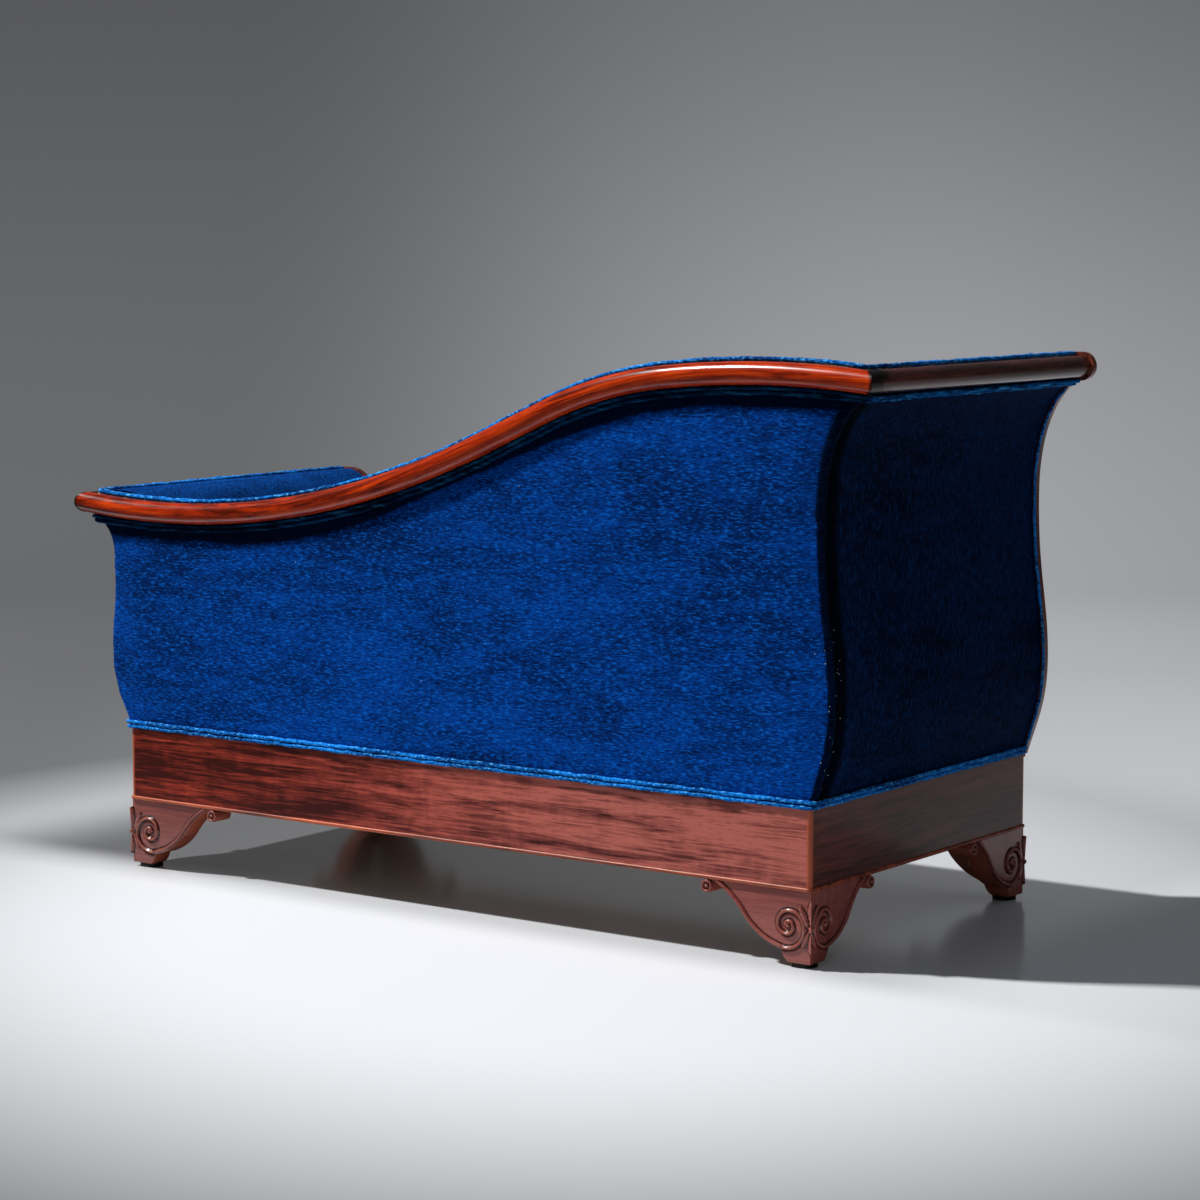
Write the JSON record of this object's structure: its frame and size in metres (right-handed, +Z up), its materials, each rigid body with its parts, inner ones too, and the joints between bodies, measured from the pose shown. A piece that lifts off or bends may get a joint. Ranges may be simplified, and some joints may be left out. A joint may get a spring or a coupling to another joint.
{
  "type": "meridienne sofa",
  "caption": "Short asymmetric day bed with a high scrolled end, a low scrolled end and an S-curved upholstered back on a bracket-footed plinth.",
  "frame": {"origin": "on the floor under the middle of the whole object's box", "axes": "+X along the length toward the low end, +Y toward the back, +Z up; a sitter faces -Y"},
  "size_m": [1.561, 0.674, 0.8837],
  "materials": {
    "mahogany_plinth": "figured red-brown mahogany veneer, waxed",
    "mahogany_rail": "solid mahogany, french polished to a high gloss",
    "mahogany_foot": "solid carved mahogany, waxed satin",
    "frame_beech": "sawn beech, unfinished",
    "velvet": "royal blue cut velvet with a short pile",
    "welt_velvet": "the same blue velvet wrapped round cord",
    "hessian": "plain jute hessian",
    "horsehair": "curled hair stuffing under wadding",
    "webbing": "herringbone jute webbing",
    "steel": "bright drawn steel, lightly dulled",
    "iron": "blackened iron"
  },
  "bodies": {
    "frame": {"back_crest_board": "frame_beech", "back_hessian": "hessian", "back_inner_cover": "velvet", "back_outer_cover": "velvet", "back_posts": "frame_beech", "back_rail": "mahogany_rail", "back_stuffing": "horsehair", "back_stuffing_rails": "frame_beech", "bracket_foot_high_back": "mahogany_foot", "bracket_foot_high_front": "mahogany_foot", "bracket_foot_low_back": "mahogany_foot", "bracket_foot_low_front": "mahogany_foot", "corner_blocks": "frame_beech", "foot_glue_blocks": "frame_beech", "glides": "iron", "high_back_upright": "frame_beech", "high_crest_board": "frame_beech", "high_facing": "mahogany_rail", "high_front_upright": "frame_beech", "high_hessian": "hessian", "high_inner_cover": "velvet", "high_outer_cover": "velvet", "high_rail": "mahogany_rail", "high_roundel": "mahogany_rail", "high_stuffing": "horsehair", "high_stuffing_rail": "frame_beech", "low_back_upright": "frame_beech", "low_crest_board": "frame_beech", "low_facing": "mahogany_rail", "low_front_upright": "frame_beech", "low_hessian": "hessian", "low_inner_cover": "velvet", "low_outer_cover": "velvet", "low_rail": "mahogany_rail", "low_roundel": "mahogany_rail", "low_stuffing": "horsehair", "low_stuffing_rail": "frame_beech", "plinth_back_board": "mahogany_plinth", "plinth_beads": "mahogany_plinth", "plinth_front_board": "mahogany_plinth", "plinth_high_board": "mahogany_plinth", "plinth_low_board": "mahogany_plinth", "rail_screws": "steel", "seat_cover": "velvet", "seat_hessian": "hessian", "seat_ledgers": "frame_beech", "seat_springs": "steel", "seat_stuffing": "horsehair", "seat_webbing_cross": "webbing", "seat_webbing_long": "webbing", "welt_facings": "welt_velvet", "welt_over_rails": "welt_velvet", "welt_plinth": "welt_velvet", "welt_under_rails": "welt_velvet"},
    "squab": {"squab_core": "horsehair", "squab_cover": "velvet", "squab_piping": "welt_velvet"}
  },
  "joints": [
    {"name": "squab_slide", "type": "slide", "parent": "frame", "child": "squab", "axis": [0, -1, 0], "range_m": [0, 0.56]}
  ]
}
